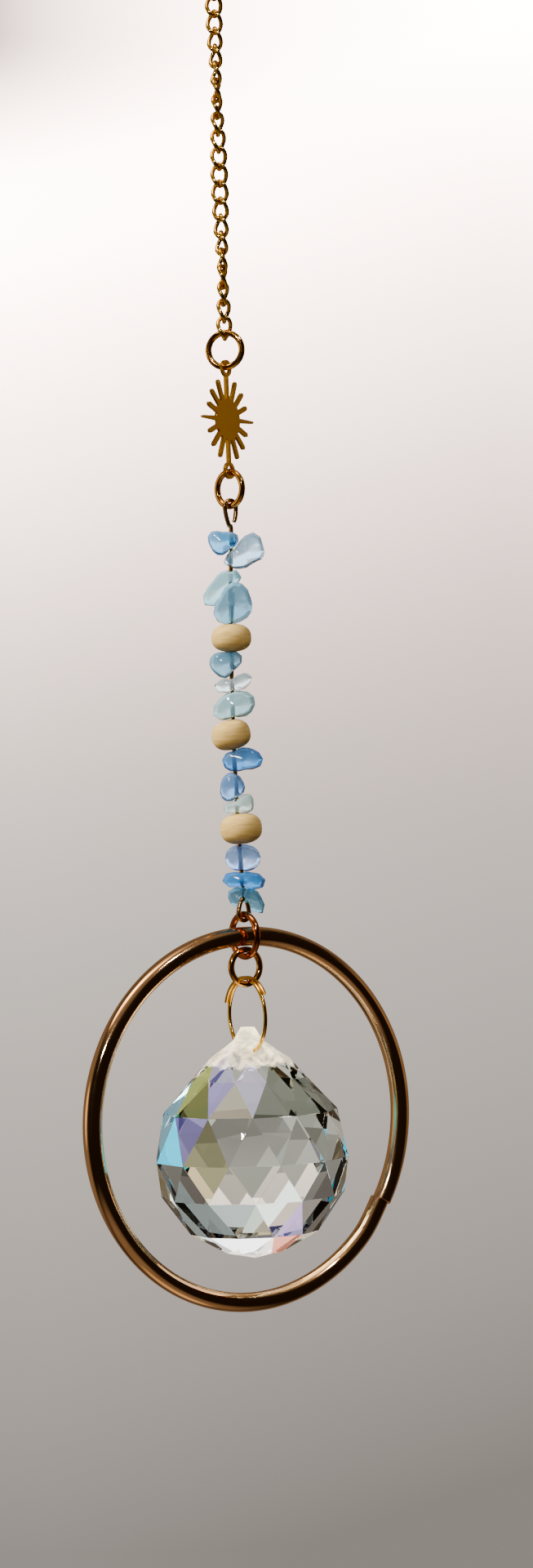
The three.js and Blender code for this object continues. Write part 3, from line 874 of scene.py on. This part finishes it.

# %% [markdown]
# The crystal is clear cut glass with a thin vapour coating on some of its facets, mostly on the left. Each
# facet carries its own tint, stored on the mesh as a face colour, and a faint painted glow, an emission that
# stands for light the coating throws back. The tints are painted light and shade: the coating's colours as it
# reflects them towards the camera, and bright or dark facets where the clear glass shows light or the dark
# room. Clearness and bending are plain values on the shader, and the ground neck is frosted and has a painted
# glow, an emission that stands for light scattered in the frost.

# %% Crystal's glass
NECK_ABOVE = mm(9.6)  # where the ground neck begins, from the hoop's centre
NECK_BLEND = mm(0.5)
NECK_RAGGED = mm(2.4)
CRYSTAL, tree, shader = new_material("coated crystal")
# The facet tint is painted light and shade: the coating's colours as reflected towards the camera, and bright
# or dark facets. The facet glow is a painted glow.
tint = add_node(tree, "ShaderNodeAttribute", attribute_name="facet_tint").outputs["Color"]
glow = add_node(tree, "ShaderNodeAttribute", attribute_name="facet_glow").outputs["Fac"]
tree.links.new(tint, shader.inputs["Base Color"])
place = add_node(tree, "ShaderNodeTexCoord").outputs["Object"]
height = add_node(tree, "ShaderNodeSeparateXYZ", {"Vector": place}).outputs["Z"]
ragged = add_node(
    tree, "ShaderNodeTexNoise", {"Vector": place, "Scale": 450.0, "Detail": 3.0}
).outputs["Fac"]
edge = maths(tree, "ADD", height, maths(tree, "MULTIPLY", ragged, NECK_RAGGED))
neck = hoop_centre.z + NECK_ABOVE
ground = add_node(tree, "ShaderNodeMapRange", {0: edge, 1: neck, 2: neck + NECK_BLEND}).outputs[0]
tree.links.new(maths(tree, "MULTIPLY", ground, 0.5), shader.inputs["Roughness"])
frost = add_node(tree, "ShaderNodeTexNoise", {"Vector": place, "Scale": 600.0, "Detail": 6.0}).outputs["Fac"]
frost = maths(tree, "MULTIPLY", ground, spread(tree, frost, 0.38, 0.66))
bump(tree, shader, frost, 0.4, mm(0.3))
# The ground neck has a painted glow: a warm emission where the frost is, standing for the light scattered in
# it.
tree.links.new(mix_colors(tree, ground, tint, (1.0, 0.76, 0.42, 1)), shader.inputs["Emission Color"])
neck_glow = maths(tree, "MULTIPLY", frost, 2.4)
tree.links.new(maths(tree, "ADD", glow, neck_glow), shader.inputs["Emission Strength"])
shader.inputs["IOR"].default_value = 1.56
shader.inputs["Transmission Weight"].default_value = 1.0
print("made glass:", CRYSTAL.name)

# %% [markdown]
# The facets have fourteen finishes. Each is a tint, a glow, and the facets that have it, each by the azimuth
# of its middle in degrees and its height above the hoop's centre in millimetres. The tints are painted light:
# the coloured ones are painted reflections of the coating as it looks from the camera, the white and bright
# ones are painted light, and the grey and darker ones are painted shade where the clear glass shows the dark
# room. The glow is a painted glow, an emission that stands for light a facet throws back.

# %% Facet finishes
# Painted light and shade: each finish's tint and glow stand for what a facet reflects and bends as the camera
# sees it.
PAINTED_FACET_LIGHT = {
    "cyan": ((0.0, 0.5, 0.75), 2.0, [(179, -4)]),
    "sea": ((0.12, 0.45, 0.7), 0.2, [(164, -2), (164, 3)]),
    "olive": ((0.4, 0.5, 0.06), 0.2, [(179, 6)]),
    "moss": ((0.1, 0.13, 0.02), 0.0, [(-166, 4)]),
    "straw": ((0.5, 0.5, 0.2), 0.0, [(-151, -4.4), (-151, -9)]),
    "violet": ((0.3, 0.25, 0.8), 0.25, [(-151, 5), (-166, -1.5), (-91, -16.6)]),
    "lilac": ((0.45, 0.45, 0.85), 0.15, [(-151, 8.5), (-121, 8.5), (-121, 5)]),
    "rose": ((1.0, 0.3, 0.2), 0.5, [(-91, -18.5)]),
    "white": ((0.95, 0.95, 0.95), 1.1, [(-151, -19.2), (-136, -19), (-121, -19), (-106, -19)]),
    "bright": ((0.9, 0.95, 0.9), 0.0, [(-136, -1.6), (-121, -4.3), (-106, -1.4), (-91, -3.8)]),
    "grey": (
        (0.4, 0.45, 0.4),
        0.0,
        [(-136, 9.5), (-106, 9.5), (-76, -1), (-136, -11.3), (-121, -9), (-106, -11), (-91, -8.5)]
        + [(-106, -15)],
    ),
    "dark_shade": (
        (0.1, 0.12, 0.09),
        0.0,
        [(-136, 3), (-106, 3), (-91, 7), (-76, 4), (-61, 4), (-121, -17)],
    ),
    "slate": ((0.05, 0.06, 0.06), 0.0, [(-46, 2), (179, -8), (-61, -7.7), (-136, -15.2), (-76, -14.3)]),
    "deep": (
        (0.008, 0.01, 0.01),
        0.0,
        [(-166, -11), (-76, -10.2), (179, -15.5), (-166, -15), (-151, -17), (-61, -15.5)],
    ),
}
CLEAR_TINT = (0.78, 0.87, 0.8)
FACET_REACH = mm(2.2)  # how near a facet's middle has to be to the place given for it
print("finishes:", ", ".join(PAINTED_FACET_LIGHT))

# %% [markdown]
# The solid has the regular cut of such a ball. A few long upright edges of its crown are turned here, so that
# a level line runs round it instead. Then the sharp edges are softened, and each facet gets its finish: the
# coating's colours painted as the reflections they give, or painted light and shade.

# %% Crystal
CROWN_RISE = (mm(5), mm(9))  # how tall the edges are that get turned
NEARLY_UPRIGHT = 0.05


# Gives each facet its painted tint and glow: painted reflections of the coating, painted light, and painted
# shade.
def paint_facet_light(mesh):
    tints = mesh.color_attributes.new(name="facet_tint", type="FLOAT_COLOR", domain="CORNER")
    glows = mesh.color_attributes.new(name="facet_glow", type="FLOAT_COLOR", domain="CORNER")
    spots = []
    for color, shine, facets in PAINTED_FACET_LIGHT.values():
        for azimuth, level in facets:
            angle = math.radians(azimuth)
            way = Vector((math.cos(angle), math.sin(angle), 0))
            spots.append((way, hoop_centre.z + mm(level), color, shine))
    coated_and_painted = 0
    for face in mesh.polygons:
        reach = math.hypot(face.center.x, face.center.y)
        tint, shine, nearest = CLEAR_TINT, 0.0, FACET_REACH
        for way, level, color, strength in spots:
            distance = (Vector((way.x * reach, way.y * reach, level)) - face.center).length
            if distance < nearest:
                tint, shine, nearest = color, strength, distance
        for corner in face.loop_indices:
            tints.data[corner].color = (*tint, 1)
            glows.data[corner].color = (shine, shine, shine, 1)
        coated_and_painted += tint != CLEAR_TINT
    print("coated facets and edges:", coated_and_painted)


def recut_crown(mesh):
    """Turn the crown's long upright edges, so that a level line of the cut runs round it instead."""
    work = bmesh.new()
    work.from_mesh(mesh)
    bmesh.ops.remove_doubles(work, verts=work.verts, dist=mm(0.01))
    upright = []
    for line in work.edges:
        low, high = sorted((v.co for v in line.verts), key=lambda spot: spot.z)
        out_low, out_high = math.hypot(low.x, low.y), math.hypot(high.x, high.y)
        tall = CROWN_RISE[0] < high.z - low.z < CROWN_RISE[1] and low.z > hoop_centre.z
        straight_up = abs(low.x * high.y - low.y * high.x) < NEARLY_UPRIGHT * out_low * out_high
        if tall and straight_up and len(line.link_faces) == 2:
            upright.append(line)
    bmesh.ops.rotate_edges(work, edges=upright)
    print("crown edges turned:", len(upright))
    work.to_mesh(mesh)
    work.free()


crystal = joined_copy("crystal_ball", "crystal_cut")
recut_crown(crystal.data)
soften_edges(crystal, mm(0.06), 1, 8)
paint_facet_light(crystal.data)
crystal.data.materials.append(CRYSTAL)
finish_piece(crystal, "crystal", "crystal_ball")

# %% [markdown]
# The set is a plain studio with a pale wall behind the piece and a pale floor far below it. Both are left
# out of mirror reflections, so that thin wire keeps its dark edges.

# %% Planes of the set
WALL_AWAY = mm(900)
WALL_HALF = mm(1500)
WALL_TOP = hoop_centre.z + mm(1200)
FLOOR_HALF = 9
FLOOR_LEVEL = hoop_centre.z - mm(420)


def stage_plane(name, corners, material):
    mesh = bpy.data.meshes.new(name)
    mesh.from_pydata([tuple(c) for c in corners], [], [(0, 1, 2, 3)])
    mesh.materials.append(material)
    piece = bpy.data.objects.new(name, mesh)
    bpy.context.collection.objects.link(piece)
    piece.visible_glossy = False
    return piece


print("wall at", round(WALL_AWAY, 2), "m behind, floor at height", round(FLOOR_LEVEL, 3), "m")

# %% [markdown]
# The wall is dim below, a little brighter with each step up, and has a pool of light at the top. The pool
# leans to the left, and the upper left corner is in shade. A simple sum gives that: a plain part, a part that
# climbs evenly, and a part that climbs by a high power.

# %% Wall's glow
WALL_LOW = mm(-260)  # the heights between which the glow climbs, from the hoop's centre
WALL_HIGH = mm(375)
WALL_DIM = 0.24
WALL_CLIMB = 1.1
WALL_POOL = 22
POOL_EDGE = 7  # how sharply the pool of light sets in
POOL_LEAN = 0.09
CORNER_SHADE = 0.9
CORNER_FROM = 0.85  # the share of the climb at which the shade of the corner sets in
WALL_COOL = (1.12, 1.0, 0.9)  # the tint below
WALL_WARM = (1.33, 1.0, 0.9)  # the tint above
WALL_BRIGHTEST = 16
VIEW_HALF = mm(100)
HOOP_AWAY = mm(540)

WALL_PAINT, tree, shader = new_material("pale wall")
place = add_node(tree, "ShaderNodeTexCoord").outputs["Object"]
height = add_node(tree, "ShaderNodeSeparateXYZ", {"Vector": place}).outputs["Z"]
sideways = add_node(
    tree, "ShaderNodeVectorMath", {0: place, 1: tuple(level_right)}, operation="DOT_PRODUCT"
).outputs["Value"]
middle = level_right.dot(camera_place + forward * (WALL_AWAY + HOOP_AWAY))
to_right = add_node(
    tree, "ShaderNodeMapRange", {0: sideways, 1: middle - VIEW_HALF, 2: middle + VIEW_HALF}
).outputs[0]
climb = add_node(
    tree, "ShaderNodeMapRange", {0: height, 1: hoop_centre.z + WALL_LOW, 2: hoop_centre.z + WALL_HIGH}
).outputs[0]
lean = maths(tree, "MULTIPLY", maths(tree, "SUBTRACT", 0.5, to_right), POOL_LEAN)
leaning = maths(tree, "MAXIMUM", maths(tree, "ADD", climb, lean), 0.0)
pool = maths(tree, "MULTIPLY", maths(tree, "POWER", leaning, POOL_EDGE), WALL_POOL)
even = maths(tree, "ADD", maths(tree, "MULTIPLY", leaning, WALL_CLIMB), WALL_DIM)
brightness = maths(tree, "ADD", even, pool)
top = add_node(
    tree, "ShaderNodeMapRange", {0: climb, 1: CORNER_FROM, 2: 1.0}, interpolation_type="SMOOTHSTEP"
).outputs[0]
corner = maths(tree, "MULTIPLY", top, maths(tree, "SUBTRACT", 1.0, to_right))
shaded = maths(tree, "SUBTRACT", 1.0, maths(tree, "MULTIPLY", corner, CORNER_SHADE))
brightness = maths(tree, "MULTIPLY", maths(tree, "MINIMUM", brightness, WALL_BRIGHTEST), shaded)
warmth = add_node(tree, "ShaderNodeMapRange", {0: climb, 1: 0.4, 2: 0.65}).outputs[0]
tint = mix_colors(tree, warmth, (*WALL_COOL, 1), (*WALL_WARM, 1))
share = maths(tree, "DIVIDE", brightness, WALL_BRIGHTEST)
glow = add_node(tree, "ShaderNodeVectorMath", {0: tint, "Scale": share}, operation="SCALE").outputs["Vector"]
print("wall glows from", WALL_DIM, "below to", WALL_BRIGHTEST, "above")

# %% [markdown]
# The camera sees the full glow. Glass, stone and wood get less of it, or they would wash out.

# %% Wall
WALL_THROUGH_GLASS = 4.0  # the most that shows through the stones and the crystal
WALL_ON_WOOD = 1.2  # the most that lights the wood


def at_most(limit):
    limit = [limit / WALL_BRIGHTEST] * 3
    capped = add_node(tree, "ShaderNodeVectorMath", {0: glow, 1: limit}, operation="MINIMUM")
    return capped.outputs["Vector"]


ray = add_node(tree, "ShaderNodeLightPath").outputs
shown = mix_colors(tree, ray["Is Transmission Ray"], at_most(WALL_ON_WOOD), at_most(WALL_THROUGH_GLASS))
tree.links.new(mix_colors(tree, ray["Is Camera Ray"], shown, glow), shader.inputs["Emission Color"])
shader.inputs["Emission Strength"].default_value = WALL_BRIGHTEST
shader.inputs["Base Color"].default_value = (0.02, 0.02, 0.02, 1)
shader.inputs["Roughness"].default_value = 1.0
shader.inputs["Specular IOR Level"].default_value = 0.0
wall_corners = [
    facing(-WALL_HALF, WALL_AWAY, FLOOR_LEVEL),
    facing(WALL_HALF, WALL_AWAY, FLOOR_LEVEL),
    facing(WALL_HALF, WALL_AWAY, WALL_TOP),
    facing(-WALL_HALF, WALL_AWAY, WALL_TOP),
]
wall = stage_plane("wall", wall_corners, WALL_PAINT)
print("made", wall.name, "with", WALL_PAINT.name)

# %% [markdown]
# The floor glows evenly for the camera and through glass, and is dim for all other light, so that it
# doesn't light the undersides.

# %% Floor
FLOOR_PAINT, tree, shader = new_material("pale floor")
ray = add_node(tree, "ShaderNodeLightPath").outputs
seen = maths(tree, "MAXIMUM", ray["Is Camera Ray"], ray["Is Transmission Ray"])
tree.links.new(seen, shader.inputs["Emission Strength"])
shader.inputs["Emission Color"].default_value = (0.62, 0.59, 0.56, 1)
shader.inputs["Base Color"].default_value = (0.12, 0.1, 0.08, 1)
shader.inputs["Roughness"].default_value = 0.8
CORNERS = ((-1, -1), (1, -1), (1, 1), (-1, 1))
floor_corners = [Vector((x * FLOOR_HALF, y * FLOOR_HALF, FLOOR_LEVEL)) for x, y in CORNERS]
floor = stage_plane("floor", floor_corners, FLOOR_PAINT)
print("floor is", round(floor.dimensions.x), "m wide")

# %% [markdown]
# A broad soft light stands high on the left, like a window, and does most of the work. Two small lamps in
# front of the piece, one from each side, add the sharp highlights on the stones.

# %% Lamps


def soft_light(name, away, size, power, color):
    """A square light at a place given as the camera sees it from the hoop, turned towards the hoop."""
    data = bpy.data.lights.new(name, "AREA")
    data.size = size
    data.energy = power
    data.color = color
    lamp = bpy.data.objects.new(name, data)
    bpy.context.collection.objects.link(lamp)
    lamp.location = hoop_centre + facing(*[mm(v) for v in away])
    aim = hoop_centre + Vector((0, 0, mm(60))) - lamp.location
    lamp.rotation_euler = aim.to_track_quat("-Z", "Y").to_euler()
    return lamp


window = soft_light("window", (-560, -150, 580), 0.5, 21, (1.0, 0.97, 0.93))
window.visible_glossy = False
lamp = soft_light("lamp", (-211, -748, 414), 0.06, 2.8, (1, 0.98, 0.94))
lamp.visible_transmission = False
side_lamp = soft_light("side lamp", (330, -420, 640), 0.05, 1.6, (1, 0.98, 0.95))
side_lamp.visible_transmission = False
for light in (window, lamp, side_lamp):
    print(light.name, "at", [round(v, 2) for v in light.location])

# %% [markdown]
# The room around is made of soft patches: dark with warm streaks for the polished metal, and grey with a
# brighter ceiling for the clear stones and the crystal. Each patch is a direction as the camera sees it
# (right, away, up), the cosines of the angles where its even middle ends and where it fades out, and its
# colour. A later patch lies over an earlier one.

# %% Patches of the room
METAL_ROOM = [
    ((0, 1, 0.1), (0.7, 0.2), (0.2, 0.15, 0.1)),
    ((0, -0.3, 1), (0.93, 0.62), (0.24, 0.19, 0.13)),
    ((0, -0.3, -1), (0.93, 0.62), (0.24, 0.18, 0.12)),
    ((-1, 0.2, 0), (0.9, 0.6), (0.24, 0.18, 0.12)),
    ((-1, -0.15, 0.05), (0.992, 0.96), (1.5, 1.15, 0.65)),
    ((-0.1, -0.15, 1), (0.99, 0.95), (1.3, 1.0, 0.65)),
    ((0, -0.05, -1), (0.99, 0.94), (0.9, 0.66, 0.4)),
    ((1, 0.3, 0.1), (0.995, 0.93), (0.3, 0.21, 0.11)),
    ((-0.3, -0.25, 0.9), (0.98, 0.9), (0.7, 0.42, 0.26)),
    ((-0.5, -0.24, 0.83), (0.996, 0.975), (6.5, 5.2, 3.6)),
    ((-0.31, -0.25, 0.92), (0.996, 0.975), (9, 7.6, 5.6)),
    ((-0.12, -0.26, 0.96), (0.996, 0.975), (5, 3.9, 2.5)),
]
METAL_DARK = (0.012, 0.008, 0.005, 1)
GLASS_ROOM = [
    ((0, 1, 0.2), (0.8, 0.2), (0.85, 0.82, 0.78)),
    ((-1, 0, 0.3), (0.8, 0.6), (1.2, 1.18, 1.15)),
    ((0, 0.2, 1), (0.75, 0.6), (2.4, 2.35, 2.25)),
    ((0, 0.1, -1), (0.9, 0.6), (0.3, 0.27, 0.25)),
    ((0.9, -0.4, -0.2), (0.85, 0.75), (0.25, 0.26, 0.27)),
    ((0.1, -1, 0.1), (0.85, 0.7), (0.16, 0.16, 0.17)),
]
GLASS_DIM = (0.45, 0.46, 0.46, 1)
DIFFUSE_FILL = (0.04, 0.035, 0.03, 1)
SEEN_BEYOND = (0.8, 0.77, 0.74, 1)
print("room of", len(METAL_ROOM), "patches for metal and", len(GLASS_ROOM), "for glass")

# %% [markdown]
# The patches are laid over one another by direction. Which room is seen depends on the kind of ray: a
# mirror reflection sees the metal's, light through glass sees the other, and the wood gets an even fill.

# %% Room around
world = bpy.data.worlds.new("room")
bpy.context.scene.world = world
world.use_nodes = True
tree = world.node_tree
background = tree.nodes["Background"]
way = add_node(tree, "ShaderNodeTexCoord").outputs["Generated"]


def patches_on(base, patches):
    room = base
    for aim, (even, edge), color in patches:
        aim = tuple(facing(*aim).normalized())
        towards = add_node(tree, "ShaderNodeVectorMath", {0: way, 1: aim}, operation="DOT_PRODUCT")
        near = add_node(
            tree,
            "ShaderNodeMapRange",
            {0: towards.outputs["Value"], 1: edge, 2: even},
            interpolation_type="SMOOTHSTEP",
        )
        room = mix_colors(tree, near.outputs[0], room, (*color, 1))
    return room


ray = add_node(tree, "ShaderNodeLightPath").outputs
room = mix_colors(
    tree, ray["Is Glossy Ray"], patches_on(GLASS_DIM, GLASS_ROOM), patches_on(METAL_DARK, METAL_ROOM)
)
room = mix_colors(tree, ray["Is Diffuse Ray"], room, DIFFUSE_FILL)
room = mix_colors(tree, ray["Is Camera Ray"], room, SEEN_BEYOND)
tree.links.new(room, background.inputs["Color"])
background.inputs["Strength"].default_value = 1.0
print("made world:", world.name)
